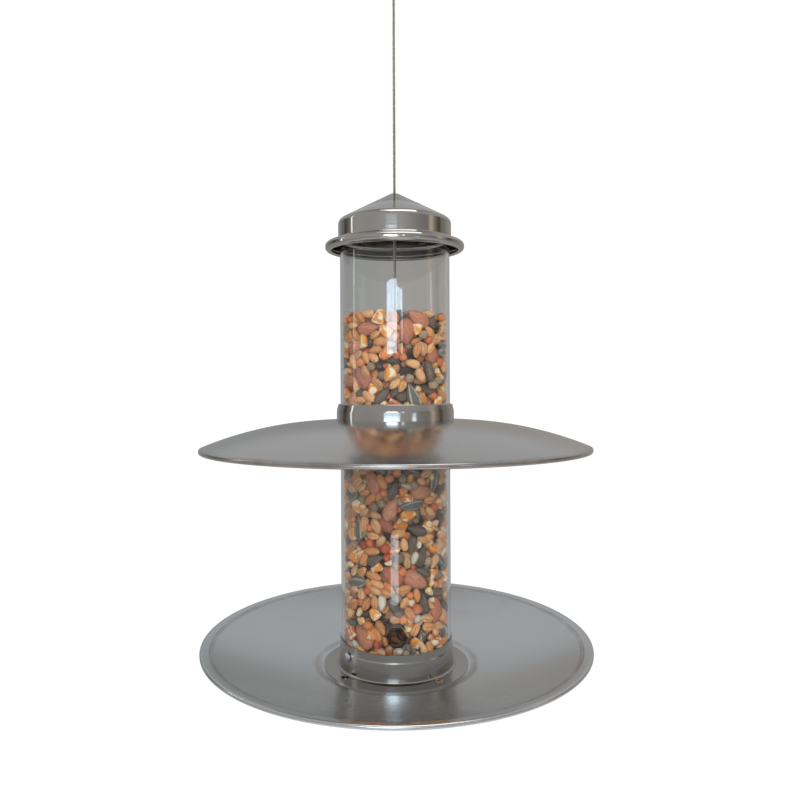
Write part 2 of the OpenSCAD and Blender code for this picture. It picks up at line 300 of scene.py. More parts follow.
# The cable's centre line as (x, z) in mm from the hook: up from the stop, then round the eye
ROUTE = [
    (0, -530.6), (0, -500), (0, -465), (0, -430), (0, -395), (0, -360), (0, -325), (0, -290),
    (0, -255), (0, -220), (0, -185), (0, -150), (0, -115), (0, -80), (0, -46),
    (-1.1, -41), (-1.1, -35), (-1.1, -29.5), (-2.4, -25.8), (-4.7, -20.3), (-7, -14.8), (-8.6, -11),
    (-9.3, -7), (-8.8, -4.5), (-7.1, -1.5), (-4.6, 0.6), (-1.6, 1.7), (1.6, 1.7), (4.6, 0.6),
    (7.1, -1.5), (8.8, -4.5), (9.3, -7), (8.6, -11), (7, -14.8), (4.7, -20.3), (2.4, -25.8),
    (1.1, -29.5), (1.1, -35), (1.1, -40),
]


def smooth_route(step):
    """The route as one smooth line of evenly spaced points, as x + z * 1j in mm."""
    p = [complex(x, z) for x, z in ROUTE]
    p = [2 * p[0] - p[1]] + p + [2 * p[-1] - p[-2]]
    line = []
    for a, b, c, d in zip(p, p[1:], p[2:], p[3:]):
        count = max(2, int(abs(c - b) / 0.3))
        for i in range(count):
            t = i / count
            line.append(0.5 * (2 * b + (c - a) * t + (2 * a - 5 * b + 4 * c - d) * t ** 2
                               + (3 * b - a - 3 * c + d) * t ** 3))
    line.append(p[-2])
    line = np.array(line)
    run = np.concatenate([[0], np.cumsum(np.abs(np.diff(line)))])
    even = np.linspace(0, run[-1], int(run[-1] / step) + 1)
    return np.interp(even, run, line.real) + 1j * np.interp(even, run, line.imag), even


def make_cable():
    """Six strands of wires laid round a core strand, along the route."""
    strands, lay, wire_lay = 6, 13.0, 4.5
    strand_r = cable_d / 6
    sides, wires = 12, 6
    line, run = smooth_route(0.8)
    ahead = np.gradient(line)
    ahead /= np.abs(ahead)
    across = ahead * 1j
    around = np.arange(sides) * 2 * math.pi / sides
    points, faces = [], []
    for k in range(strands + 1):
        turn = 2 * math.pi * (run / lay + k / strands)
        out = 0 if k == strands else cable_d / 2 - strand_r
        lobes = np.cos(wires * (around[None, :] - 2 * math.pi * run[:, None] / wire_lay / wires))
        radius = strand_r * (0.93 + 0.07 * lobes)
        side = out * np.cos(turn)[:, None] + radius * np.cos(around)[None, :]
        depth = out * np.sin(turn)[:, None] + radius * np.sin(around)[None, :]
        at = line[:, None] + across[:, None] * side
        base = sum(len(p) for p in points)
        points.append(np.stack([at.real, -depth, at.imag], -1).reshape(-1, 3) * MM)
        faces += [tuple(base + v for v in face) for face in grid_faces(len(line), sides, False)]
    cable = add_mesh("stranded_cable", np.concatenate(points), faces, "root",
                     ["suspension_cable"])
    return cable, [(p.real * MM, 0.0, p.imag * MM) for p in line]


cable, cable_path = make_cable()


# ---------------------------------------------------------------- node helpers

def opaque(colour):
    """A colour with full alpha; a node's output stays as it is."""
    return (*colour, 1) if isinstance(colour, tuple) else colour


class Graph:
    """Short calls for the nodes of one tree. An input is a value or another node's output."""

    def __init__(self, tree):
        self.nodes = tree.nodes
        self.links = tree.links

    def give(self, socket, value):
        """Links an output to a socket, or sets its value."""
        if isinstance(value, bpy.types.NodeSocket):
            self.links.new(value, socket)
        else:
            socket.default_value = value

    def add(self, kind, inputs=None, **settings):
        """A node with some settings and inputs."""
        node = self.nodes.new(kind)
        for key, value in settings.items():
            setattr(node, key, value)
        for key, value in (inputs or {}).items():
            self.give(node.inputs[key], value)
        return node

    def split(self, vector):
        """The x, y and z of a vector."""
        return self.add("ShaderNodeSeparateXYZ", {0: vector}).outputs[:]

    def join(self, x, y, z):
        """The vector of x, y and z."""
        return self.add("ShaderNodeCombineXYZ", {0: x, 1: y, 2: z}).outputs[0]

    def math(self, operation, a, b=0.0, c=0.0, clamp=False):
        """One sum, held between 0 and 1 when it is clamped."""
        inputs = {0: a, 1: b, 2: c}
        return self.add("ShaderNodeMath", inputs, operation=operation, use_clamp=clamp).outputs[0]

    def noise(self, vector, scale, detail=3.0, roughness=0.5):
        """Cloudy noise from 0 to 1, with scale clouds to a unit of the vector."""
        inputs = {"Vector": vector, "Scale": scale, "Detail": detail, "Roughness": roughness}
        return self.add("ShaderNodeTexNoise", inputs).outputs["Fac"]

    def spread(self, value, low, high, to_low, to_high):
        """Maps low..high to to_low..to_high, held at the ends."""
        inputs = {0: value, 1: low, 2: high, 3: to_low, 4: to_high}
        return self.add("ShaderNodeMapRange", inputs, clamp=True).outputs[0]

    def mix(self, factor, a, b, blend="MIX"):
        """Two colours mixed by a factor."""
        inputs = {0: factor, 6: opaque(a), 7: opaque(b)}
        return self.add("ShaderNodeMix", inputs, data_type="RGBA", blend_type=blend).outputs[2]

    def ramp(self, value, stops, curve="LINEAR"):
        """A colour ramp through (place, colour) stops."""
        node = self.add("ShaderNodeValToRGB", {0: value})
        node.color_ramp.interpolation = curve
        elements = node.color_ramp.elements
        for element, (place, colour) in zip(elements, (stops[0], stops[-1])):
            element.position = place
            element.color = opaque(colour)
        for place, colour in stops[1:-1]:
            elements.new(place).color = opaque(colour)
        return node.outputs[0]

    def choose(self, ray, usual, other):
        """One shader for a kind of ray and the usual one for all others."""
        rays = self.add("ShaderNodeLightPath")
        inputs = {0: rays.outputs[ray], 1: usual.outputs[0], 2: other.outputs[0]}
        return self.add("ShaderNodeMixShader", inputs).outputs[0]


class Material(Graph):
    """A new material with its shader, and the place on the object as at."""

    def __init__(self, name):
        self.material = bpy.data.materials.new(name)
        self.material.use_nodes = True
        super().__init__(self.material.node_tree)
        self.shader = self.nodes["Principled BSDF"]
        self.surface = self.nodes["Material Output"].inputs["Surface"]
        self.at = self.add("ShaderNodeTexCoord").outputs["Object"]

    def bump(self, height, strength, distance):
        """Roughens the surface by a height."""
        inputs = {"Height": height, "Strength": strength, "Distance": distance}
        node = self.add("ShaderNodeBump", inputs)
        self.links.new(node.outputs[0], self.shader.inputs["Normal"])

    def set(self, **values):
        """Sets shader inputs, with _ for a space in their names."""
        for key, value in values.items():
            self.give(self.shader.inputs[key.replace("_", " ")], value)


def srgb(r, g, b):
    """A colour given as 0 to 255 display values, as linear values."""
    return tuple(((v / 255 + 0.055) / 1.055) ** 2.4 if v > 10 else v / 255 / 12.92 for v in (r, g, b))


# ---------------------------------------------------------------- metals

def spun_steel(name, light, dark, smooth, dull, grain, colour_rings=()):
    """Spun stainless sheet: faint turning marks, smudges, fine pits and rings of colour at given radii.

    A ring of colour is (radius, reach to each side, colour, strength), and a strength above 1 leaves no gaps
    in it. The callers give brown lines along creases and bends, partly wear and partly painted shade, and
    rings of painted shade and of painted reflection.
    """
    g = Material(name)
    x, y, z = g.split(g.at)
    radius = g.add("ShaderNodeVectorMath", {0: g.join(x, y, 0.0)}, operation="LENGTH").outputs["Value"]
    marks = g.noise(g.join(radius, z, 0.0), 1400, 2)
    smudge = g.noise(g.at, 16, 5, 0.6)
    haze = g.noise(g.at, 5, 2)
    pits = g.noise(g.at, 2600, 2)
    blotch = g.noise(g.at, 60, 4, 0.65)
    rough = g.spread(smudge, 0.3, 0.72, smooth, dull)
    rough = g.math("MULTIPLY_ADD", g.spread(marks, 0.3, 0.7, -1, 1), 0.02, rough)
    rough = g.math("MULTIPLY_ADD", g.spread(pits, 0.55, 0.8, 0, 1), 0.05, rough)
    colour = g.mix(g.spread(haze, 0.35, 0.65, 0, 1), light, dark)
    colour = g.mix(g.spread(smudge, 0.55, 0.8, 0, 0.25), colour, srgb(176, 170, 160))
    # Rings of colour: brown lines along creases and bends, partly wear and partly painted shade, and rings of
    # painted shade and of painted reflection
    for place, reach, ring_colour, strength in colour_rings:
        near = g.math("ABSOLUTE", g.math("SUBTRACT", radius, place * MM))
        line = g.spread(near, 0, reach * MM, 1, 0)
        patchy = g.spread(blotch, 0.3, 0.7, 0.25 * strength, strength)
        colour = g.mix(g.math("MULTIPLY", line, patchy, clamp=True), colour, ring_colour)
    height = g.math("ADD", g.math("MULTIPLY", marks, grain), g.math("MULTIPLY", pits, 0.25 * grain))
    g.bump(height, 0.35, 0.00004)
    g.set(Base_Color=colour, Metallic=1.0, Roughness=rough)
    return g.material


def plain_metal(name, light, dark, smooth, dull, size=400.0):
    """Cast, plated or drawn metal with a mottled surface and faint pits."""
    g = Material(name)
    mottle = g.noise(g.at, size, 4, 0.6)
    g.bump(g.noise(g.at, size * 6, 3), 0.25, 0.00005)
    colour = g.mix(g.spread(mottle, 0.35, 0.65, 0, 1), light, dark)
    g.set(Base_Color=colour, Metallic=1.0, Roughness=g.spread(mottle, 0.3, 0.7, smooth, dull))
    return g.material


def rubber():
    """Matt black rubber with a dusty bloom."""
    g = Material("grip_rubber")
    bloom = g.noise(g.at, 220, 4)
    g.bump(g.noise(g.at, 3000, 2), 0.3, 0.00005)
    colour = g.mix(bloom, (0.012, 0.012, 0.013), (0.04, 0.04, 0.042))
    g.set(Base_Color=colour, Roughness=g.spread(bloom, 0.3, 0.7, 0.55, 0.8))
    return g.material


def acrylic():
    """Clear tube: true refraction to the eye, and lets lamps through to the seed."""
    g = Material("clear_acrylic")
    film = g.noise(g.at, 30, 5, 0.6)
    g.set(Base_Color=(0.985, 0.99, 0.988, 1), Roughness=g.spread(film, 0.45, 0.75, 0.0, 0.03),
          IOR=1.49, Transmission_Weight=1.0)
    clear = g.add("ShaderNodeBsdfTransparent", {"Color": (0.94, 0.95, 0.95, 1)})
    g.links.new(g.choose("Is Shadow Ray", g.shader, clear), g.surface)
    return g.material


def wear(piece, material):
    """Gives a piece or a CAD node one material."""
    piece.data.materials.clear()
    piece.data.materials.append(material)


# ---------------------------------------------------------------- sheet metal pieces

def make_tray():
    """Dish with a sunken flat floor, a raised centre, a crease inside the rim and a rolled rim."""
    hub_r, hub_foot_r, hub_h = 7, 26, 10
    step_run, step_h = 5, 1.6
    curve_r = 250
    middle = bent([
        (cable_hole_r, hub_h, 0),
        (hub_r, hub_h, 2),
        (hub_foot_r, 0, 4),
        (recess_r, 0, 0.8),
        (recess_r + step_run, step_h, 0),
    ])
    bowl = bulge(complex(recess_r + step_run + 0.5, step_h + 0.08), complex(crease_r, crease_z), curve_r, 24)
    rim = bent([(crease_r, crease_z, 0)] + rolled(tray_r, tray_rim_z, tray_rim_z - 3.2, 3.2, 1.4, 1.35))
    tray = lathe("spun_tray", band(middle + bowl + rim[1:]), "root", ["tray"])
    drill_floor(tray, tray_hole_r, drain_angles)
    drill_floor(tray, rivet_r + sheet_t, rivet_angles)
    sharpen(tray)
    return tray


def make_base_ring():
    """Ring that holds the tube, with a swage line, a fillet and a flange."""
    ring = lathe("spun_base_ring", band(bent([
        (ring_r, ring_h, 0),
        (ring_r, swage_z + swage_half, 0.4),
        (ring_r + swage_out, swage_z - swage_half, 0.4),
        (ring_r + swage_out, sheet_t, 1.6),
        (flange_r, sheet_t, 0),
    ])), "root", ["base_ring"])
    drill_floor(ring, drain_r, drain_angles)
    drill_floor(ring, rivet_r, rivet_angles)
    sharpen(ring)
    return ring


def make_dome():
    """Rain roof: a shallow dome with a rolled rim."""
    curve_r, flat_r, knuckle, fall = 250, 45, 6, 2.4
    drop = curve_r - math.sqrt(curve_r ** 2 - (roof_r - knuckle - flat_r) ** 2)
    edge = complex(roof_r - knuckle, roof_top_z - drop)
    bow = bulge(complex(flat_r, roof_top_z), edge, -curve_r, 60)
    rim = bent([(edge.real, edge.imag, 0)] + rolled(roof_r, edge.imag - fall, roof_rim_z, 3.6, 1.6, 1.25))
    outline = band([complex(tube_r + roof_gap, roof_top_z)] + bow + rim[1:])
    return lathe("spun_dome", outline, "roof", ["roof_dome"], 432)


def make_collar():
    """Convex polished band round the tube."""
    return lathe("spun_collar", band(bent([
        (tube_r + roof_gap, collar_top_z, 0),
        (tube_r + roof_gap + 1.2, collar_top_z, 0.9),
        (collar_r, collar_top_z - 5, 6),
        (collar_r, roof_top_z, 0),
    ], 18)), "roof", ["roof_collar"])


def make_lid():
    """Conical lid with a rounded knuckle, a skirt and a rolled brim, which rests a little tilted."""
    slope, skirt_r, knuckle_r, fall = 27.5, 41.3, 4.5, 2.2
    foot_z = lid_top_z - (skirt_r - lid_nose_r) * math.tan(math.radians(slope))
    cone = [
        (lid_hole_r, lid_top_z, 0),
        (lid_nose_r, lid_top_z, 0),
        (skirt_r, foot_z, knuckle_r),
        (skirt_r, brim_root_z, 1.5),
    ]
    brim = rolled(brim_r, brim_root_z - fall, brim_low_z, 4.6, 2.2, 3)
    lid = lathe("spun_lid", band(bent(cone + brim, 18)), "lid", ["lid_shell"])
    pivot = Vector((0, 0, floor_z + lid_pivot_z * MM))
    tilt = Matrix.Rotation(math.radians(lid_tilt), 4, "X")
    lid.data.transform(Matrix.Translation(pivot) @ tilt @ Matrix.Translation(-pivot))
    return lid


def make_tube():
    """Clear tube with its ports and screw holes, in rows short enough to cut cleanly."""
    edge = 0.3
    rows = [6, 10, 14, 18, 22] + list(range(24, 42, 2)) + [46, 60, 100, 160, 220, 280]
    outer = [complex(tube_r, z) for z in rows]
    inner = [complex(tube_ir, z) for z in reversed(rows)]
    outline = [complex(tube_ir + edge, 0), complex(tube_r - edge, 0), complex(tube_r, edge)] + outer
    outline += [complex(tube_r, tube_h - edge), complex(tube_r - edge, tube_h)]
    outline += [complex(tube_ir + edge, tube_h), complex(tube_ir, tube_h - edge)] + inner
    outline += [complex(tube_ir, edge)]
    tube = lathe("acrylic_tube", outline, "root", ["seed_tube"], 288)
    drill_wall(tube, port_r, port_angles, port_z)
    drill_wall(tube, screw_hole_r, screw_angles, screw_z)
    sharpen(tube)
    return tube


# ---------------------------------------------------------------- seed

def quad_sphere(n):
    """Unit sphere of six n by n patches, as points and quads."""
    grid = np.tan(np.linspace(-1, 1, n + 1) * math.pi / 4)
    index, quads = {}, []
    for axis in range(3):
        for sign in (-1, 1):
            ids = np.empty((n + 1, n + 1), int)
            for i, a in enumerate(grid):
                for j, b in enumerate(grid):
                    p = [0.0, 0.0, 0.0]
                    p[axis] = sign
                    p[(axis + 1) % 3] = a
                    p[(axis + 2) % 3] = b
                    size = math.sqrt(1 + a * a + b * b)
                    key = tuple(round(v / size, 5) for v in p)
                    ids[i, j] = index.setdefault(key, len(index))
            for i in range(n):
                for j in range(n):
                    quad = [ids[i, j], ids[i + 1, j], ids[i + 1, j + 1], ids[i, j + 1]]
                    quads.append(quad if sign > 0 else quad[::-1])
    return np.array(list(index)), np.array(quads)


def wheat_shape(u, rng):
    """A plump grain with a groove along one side."""
    x, y, z = u.T
    groove = 0.3 * np.exp(-(y / 0.24) ** 2) * np.clip(z, 0, 1)
    return np.stack([x, y * (1 - 0.14 * x), (z - groove) * (1 - 0.1 * x)], 1)


def kernel_shape(u, rng):
    """A maize kernel or a broken piece of one: boxy, wedge-shaped, with a broken face."""
    p = np.sign(u) * np.abs(u) ** 0.62
    p[:, 1] *= 1 + 0.3 * p[:, 0]
    return broken(p, rng, 2, 0.62)


def chip_shape(u, rng):
    """A chip of broken maize."""
    return broken(np.sign(u) * np.abs(u) ** 0.8, rng, 5, 0.6)


def nut_shape(u, rng):
    """A shelled peanut: egg-shaped, with faint ridges."""
    x, y, z = u.T
    lean = 1 - 0.22 * x - 0.12 * np.clip(x, 0, 1) ** 2
    ridge = 1 + 0.02 * np.sin(9 * np.arctan2(z, y) + 3 * x)
    return np.stack([x, y * lean * ridge, z * lean * ridge], 1)


def husk_shape(u, rng):
    """A sunflower seed: flat, broad at one end and pointed at the other."""
    x, y, z = u.T
    lean = (1 - 0.4 * x) * (1 - 0.35 * np.clip(x, 0, 1) ** 2)
    rib = 1 + 0.03 * np.cos(8 * np.arctan2(z, y))
    return np.stack([x, y * lean * 0.92, z * (1 - 0.25 * x) * rib], 1)


def drop_shape(u, rng):
    """A plain grain that is thinner at one end."""
    x, y, z = u.T
    lean = 1 - 0.25 * x
    return np.stack([x, y * lean, z * lean], 1)


def ball_shape(u, rng):
    """A round seed with a dimple at one end."""
    x, y, z = u.T
    dimple = 0.25 * np.exp(-((x - 0.8) ** 2 + y ** 2 + z ** 2) / 0.08)
    return np.stack([x - dimple, y, z], 1)


def broken(p, rng, cuts, depth):
    """Cuts flat faces off a shape, as on broken grain."""
    for _ in range(cuts):
        n = rng.normal(size=3)
        n /= np.linalg.norm(n)
        over = np.clip(p @ n - depth, 0, None)
        p = p - over[:, None] * n * 0.9
    return p


# name: share of the grains, half length, half width, half thickness in mm, patches, shape
SEEDS = {
    "wheat": (0.40, 4.8, 2.8, 2.5, 7, wheat_shape),
    "maize": (0.09, 4.7, 3.7, 2.5, 7, kernel_shape),
    "grit": (0.09, 3.1, 2.6, 2.1, 6, chip_shape),
    "peanut": (0.04, 9.2, 5.7, 5.1, 13, nut_shape),
    "striped_sunflower": (0.065, 8.4, 4.3, 2.9, 12, husk_shape),
    "black_sunflower": (0.085, 6.9, 3.7, 2.9, 10, husk_shape),
    "sorghum": (0.10, 3.1, 2.9, 2.6, 6, ball_shape),
    "vetch": (0.07, 3.2, 3.1, 2.9, 6, ball_shape),
    "safflower": (0.04, 4.7, 2.6, 2.3, 7, drop_shape),
    "oat": (0.02, 6.3, 2.2, 1.9, 7, drop_shape),
}
seed_count = 1860
seed_top_share = 0.10
packing_rounds = 70
seed_core_r = 27
seed_cap = 13
outer_layer = 8.5
top_layer = 10
pocket_r = 8.5
pocket_floor_r = 29
nut_r = tube_ir - 3
nut_room = 4.5

# Grains are joined below the first height, between the two and above the second
middle_from_z = 80
upper_from_z = roof_rim_z + 10

# Room before a port: from one depth behind the tube's inner face to another, and how far from its axis
port_mouth = (-1, 8, port_r - 1)
port_throat = (8, 24, port_r - 3)
port_round = (0, 9, 2.3 * port_r)

# Painted shade: grains are painted darker with their depth behind the wall, down to a limit, and darkest
# behind a port
shade_from = 4
shade_per_mm = 0.045
shade_limit = 0.45
throat_shade = 0.05


def pair_pushes(at, radius, owner):
    """How far each ball is pushed by those that it overlaps, found by sweeping up the height."""
    order = np.argsort(at[:, 2], kind="stable")
    p, r, own = at[order], radius[order], owner[order]
    push = np.zeros_like(p)
    hits = np.zeros(len(p))
    reach = 2 * r.max()
    step = 1
    while step < len(p):
        gap = p[step:] - p[:-step]
        if gap[:, 2].min() > reach:
            break
        room = r[step:] + r[:-step]
        apart = (gap ** 2).sum(1)
        close = np.nonzero((apart < room ** 2) & (own[step:] != own[:-step]))[0]
        if len(close):
            distance = np.sqrt(apart[close]) + 1e-6
            shift = gap[close] / distance[:, None] * (room[close] - distance)[:, None] * 0.5
            push[close + step] += shift
            push[close] -= shift
            hits[close + step] += 1
            hits[close] += 1
        step += 1
    push /= np.maximum(hits, 1)[:, None] ** 0.6
    back = np.empty_like(push)
    back[order] = push
    return back


def keep_inside(p, r):
    """Pushes balls back inside the tube, and out of the core, the cable, the ports' pockets and the nuts."""
    p[:, 2] = np.clip(p[:, 2], 0.5 + r, seed_level + 0.6 - r * 0.8)
    away = np.hypot(p[:, 0], p[:, 1]) + 1e-6
    low = np.where(p[:, 2] > seed_level - seed_cap, cable_d / 2 + r, seed_core_r + r * 0.5)
    want = np.clip(away, low, None)
    want = np.minimum(want, tube_ir - 0.1 - r)
    p[:, :2] *= (want / away)[:, None]
    for angle in port_angles:
        side = np.array(polar(1, angle, 0))
        out = p @ side
        across = np.hypot(p @ np.array(polar(1, angle + 90, 0)), p[:, 2] - port_z)
        deep = (out > pocket_floor_r - r) & (across < pocket_r - 1 + 0.2 * r) & (out > 0)
        p[deep] -= side * (out[deep] - pocket_floor_r + r[deep])[:, None] * 0.5
    for angle in screw_angles:
        gap = p - np.array(polar(nut_r, angle, screw_z))
        distance = np.linalg.norm(gap, axis=1) + 1e-6
        short = np.clip(nut_room + r - distance, 0, None)
        p += gap / distance[:, None] * short[:, None]
    return p


def pack_seed(rng):
    """Random close packing of the grains as short rods, relaxed until they no longer overlap much."""
    names = list(SEEDS)
    share = np.array([SEEDS[n][0] for n in names])
    kind = rng.choice(len(names), seed_count, p=share / share.sum())
    size = rng.uniform(0.86, 1.14, seed_count)
    half = np.array([SEEDS[n][1:4] for n in names])[kind] * size[:, None]
    radius = np.sqrt(half[:, 1] * half[:, 2]) * 0.93
    reach = np.maximum(half[:, 0] - radius, 0.05)
    angle = rng.uniform(0, 2 * math.pi, seed_count)
    away = np.sqrt(rng.uniform(seed_core_r ** 2, (tube_ir - 2) ** 2, seed_count))
    height = rng.uniform(3, seed_level - 3, seed_count)
    centre = np.stack([away * np.cos(angle), away * np.sin(angle), height], 1)
    top = rng.random(seed_count) < seed_top_share
    centre[top, 2] = rng.uniform(seed_level - seed_cap, seed_level - 3, top.sum())
    centre[top, :2] *= (rng.uniform(0.1, 1, top.sum()) ** 0.5)[:, None]
    axis = rng.normal(size=(seed_count, 3))
    out = centre * [1, 1, 0] / (np.linalg.norm(centre[:, :2], axis=1) + 1e-6)[:, None]
    axis -= out * (axis * out).sum(1)[:, None] * 0.8
    axis /= np.linalg.norm(axis, axis=1)[:, None]
    ends = np.stack([centre - axis * reach[:, None], centre + axis * reach[:, None]], 1)
    owner = np.tile(np.arange(seed_count), 3)
    radii = np.tile(radius, 3)
    for _ in range(packing_rounds):
        middle = ends.mean(1)
        balls = np.concatenate([ends[:, 0], middle, ends[:, 1]])
        push = pair_pushes(balls, radii, owner) * 1.25
        balls += push
        balls = keep_inside(balls, radii)
        first, middle, last = np.split(balls, 3)
        shift = middle - (first + last) / 2
        ends = np.stack([first + shift * 0.5, last + shift * 0.5], 1)
        centre = ends.mean(1)
        axis = ends[:, 1] - ends[:, 0]
        axis /= np.linalg.norm(axis, axis=1)[:, None] + 1e-9
        ends = np.stack([centre - axis * reach[:, None], centre + axis * reach[:, None]], 1)
    return names, kind, half, centre, axis


def seat_grain(points, centre):
    """Moves one grain so that it lies inside the tube, and against it if it is in the outer layer."""
    wall_gap, floor_gap, near_wall = 0.08, 0.3, 3
    farthest = np.hypot(points[:, 0], points[:, 1]).max()
    limit = tube_ir - wall_gap
    in_port = any(
        np.dot(centre, polar(1, a, 0)) > 0
        and math.hypot(np.dot(centre, polar(1, a + 90, 0)), centre[2] - port_z) < pocket_r + 1
        for a in port_angles)
    if farthest > limit or (farthest > limit - near_wall and not in_port):
        out = centre[:2] / (np.linalg.norm(centre[:2]) + 1e-6)
        points[:, :2] += out * (limit - farthest)
    points[:, 2] += max(floor_gap - points[:, 2].min(), 0)
    return points


def before_port(points, shallow, deep, radius):
    """Whether any point lies between two depths behind the wall and within a radius of a port's axis."""
    for angle in port_angles:
        depth = tube_ir - points @ polar(1, angle, 0)
        across = np.hypot(points @ polar(1, angle + 90, 0), points[:, 2] - port_z)
        if ((depth > shallow) & (depth < deep) & (across < radius)).any():
            return True
    return False


def shape_grain(name, half, unit, at, axis, rng):
    """One grain's surface, a little uneven, with its flat side to the wall or, at the top, upwards."""
    wave = rng.normal(size=(3, 3)) * 1.6
    phase = rng.uniform(0, 6.28, 3)
    wobble = 1 + 0.045 * np.sin(unit @ wave + phase).sum(1)
    shape = SEEDS[name][5]
    local = shape(unit * wobble[:, None], rng) * half
    out = np.array([at[0], at[1], 0])
    out = out / (np.linalg.norm(out) + 1e-6) + rng.normal(size=3) * 0.28
    if at[2] > seed_level - seed_cap and np.hypot(*at[:2]) < tube_ir - 6:
        out = np.array([0, 0, 1]) + rng.normal(size=3) * 0.35
    flat = out - axis * np.dot(out, axis)
    flat /= np.linalg.norm(flat)
    flat *= rng.choice([-1, 1])
    side = np.cross(flat, axis)
    return seat_grain(at + local @ np.stack([axis, side, flat]), at)


def level_of(z):
    """The level of the tube that a height is in."""
    if z > upper_from_z:
        return "upper"
    return "middle" if z > middle_from_z else "lower"


def make_seed(rng):
    """Every grain as its own mesh, joined by kind at three levels of the tube."""
    names, kind, half, centre, axis = pack_seed(rng)
    spheres = {}
    parts = {}
    for i, at in enumerate(centre):
        name = names[kind[i]]
        if name.endswith("sunflower") and before_port(at[None], *port_round):
            name = "wheat"
        patches = SEEDS[name][4]
        if math.hypot(at[0], at[1]) < tube_ir - outer_layer and at[2] < seed_level - top_layer:
            patches = max(4, patches // 2)
        if patches not in spheres:
            spheres[patches] = quad_sphere(patches)
        unit, quads = spheres[patches]
        points = shape_grain(name, half[i], unit, at, axis[i], rng)
        if before_port(points, *port_mouth):
            continue
        # Painted shade: deeper grains, and grains behind a port, are painted darker
        depth = tube_ir - np.hypot(at[0], at[1])
        shade = max(1 - shade_per_mm * max(depth - shade_from, 0), shade_limit)
        if before_port(points, *port_throat):
            shade = throat_shade
        label = f"{name}_{level_of(at[2])}"
        part = parts.setdefault(label, {"points": [], "quads": [], "local": [], "tint": [], "count": 0})
        part["points"].append(points)
        part["quads"].append(quads + part["count"])
        part["local"].append(unit)
        part["tint"].append(np.tile([rng.random(), rng.random(), shade], (len(unit), 1)))
        part["count"] += len(unit)
    pieces = {}
    for label, part in sorted(parts.items()):
        points = np.concatenate(part["points"]) * MM + [0, 0, floor_z]
        piece = add_mesh(label, points, np.concatenate(part["quads"]), "root", ["seed_fill"])
        for attribute in ("local", "tint"):
            layer = piece.data.attributes.new(f"grain_{attribute}", "FLOAT_VECTOR", "POINT")
            layer.data.foreach_set("vector", np.concatenate(part[attribute]).astype(np.float32).ravel())
        pieces[label] = piece
    return pieces


def make_seed_core():
    """What lies behind the two outer layers of grain."""
    low, high = 12, seed_level - seed_cap
    rows = [complex(seed_core_r + 1.5 + 0.6 * math.sin(z * 1.7), z) for z in range(low, int(high), 2)]
    outline = [complex(2, low)] + rows + [complex(2, high - 2)]
    return lathe("seed_core", outline, "root", ["seed_fill"], 96)


class Grain(Material):
    """A seed's material: the place within the grain, and two random numbers and a painted shade for each
    grain.
    """

    def __init__(self, name):
        super().__init__(name)
        self.local = self.attribute("grain_local")
        self.x, self.y, self.z = self.split(self.local)
        self.first, self.second, self.shade = self.split(self.attribute("grain_tint"))

    def attribute(self, name):
        """What is stored on the mesh by a name."""
        return self.add("ShaderNodeAttribute", attribute_name=name).outputs["Vector"]

    def finish(self, colour, rough, bump_scale=900.0, bump=0.35):
        """Adds fine mottling, the painted shade of deeper grains and a fine-grained surface."""
        mottle = self.noise(self.at, 700, 4, 0.6)
        colour = self.mix(self.spread(mottle, 0.35, 0.7, 0, 0.28), colour, srgb(96, 66, 44), "MULTIPLY")
        # Painted shade: the grain's colour is multiplied by its shade
        shade = self.join(self.shade, self.shade, self.shade)
        self.set(Base_Color=self.mix(1.0, colour, shade, "MULTIPLY"), Roughness=rough)
        self.bump(self.noise(self.at, bump_scale, 4, 0.6), bump, 0.0002)
        return self.material


def even_stops(*colours):
    """Display colours, evenly spaced, as the stops of a ramp."""
    return [(i / (len(colours) - 1), srgb(*colour)) for i, colour in enumerate(colours)]


def plain_seed(name, stops, rough, tip=None):
    """A grain of one colour that varies from grain to grain, with a tip of another colour if one is given."""
    g = Grain(name)
    colour = g.ramp(g.first, stops)
    if tip:
        colour = g.mix(g.spread(g.x, 0.5, 0.9, 0, 0.85), colour, tip)
    return g.finish(colour, rough)


def wheat_material():
    """Tan grain with a darker groove and pale ends."""
    g = Grain("wheat")
    colour = g.ramp(g.first, [
        (0.0, srgb(196, 128, 72)),
        (0.35, srgb(220, 156, 100)),
        (0.6, srgb(228, 176, 124)),
        (0.8, srgb(196, 152, 112)),
        (1.0, srgb(214, 134, 70)),
    ])
    middle = g.spread(g.math("ABSOLUTE", g.y), 0.0, 0.22, 1, 0)
    grooved_side = g.spread(g.z, 0.2, 0.6, 0, 0.55)
    colour = g.mix(g.math("MULTIPLY", middle, grooved_side), colour, srgb(150, 92, 52))
    ends = g.spread(g.math("ABSOLUTE", g.x), 0.8, 1.0, 0, 0.5)
    return g.finish(g.mix(ends, colour, srgb(236, 206, 168)), 0.42)


def maize_material(name, stops):
    """Golden skin with white, floury broken faces."""
    g = Grain(name)
    shift = g.join(g.math("MULTIPLY", g.second, 3.0), g.math("MULTIPLY", g.first, 5.0), 0.0)
    shifted = g.add("ShaderNodeVectorMath", {0: g.local, 1: shift}).outputs[0]
    floury = g.spread(g.noise(shifted, 1.1, 2), 0.52, 0.58, 0, 0.9)
    return g.finish(g.mix(floury, g.ramp(g.first, stops), srgb(238, 226, 196)), 0.38)


def peanut_material():
    """Pinkish brown skin with darker veins along the nut."""
    g = Grain("peanut")
    colour = g.ramp(g.first, even_stops((184, 112, 84), (200, 132, 100), (212, 152, 120)))
    turn = g.math("ARCTAN2", g.z, g.y)
    stretched = g.join(g.math("MULTIPLY", g.x, 1.4), g.math("MULTIPLY", turn, 3.0), g.second)
    veins = g.spread(g.noise(stretched, 2.2, 4), 0.5, 0.62, 0, 0.55)
    return g.finish(g.mix(veins, colour, srgb(146, 78, 62)), 0.5, 500, 0.5)


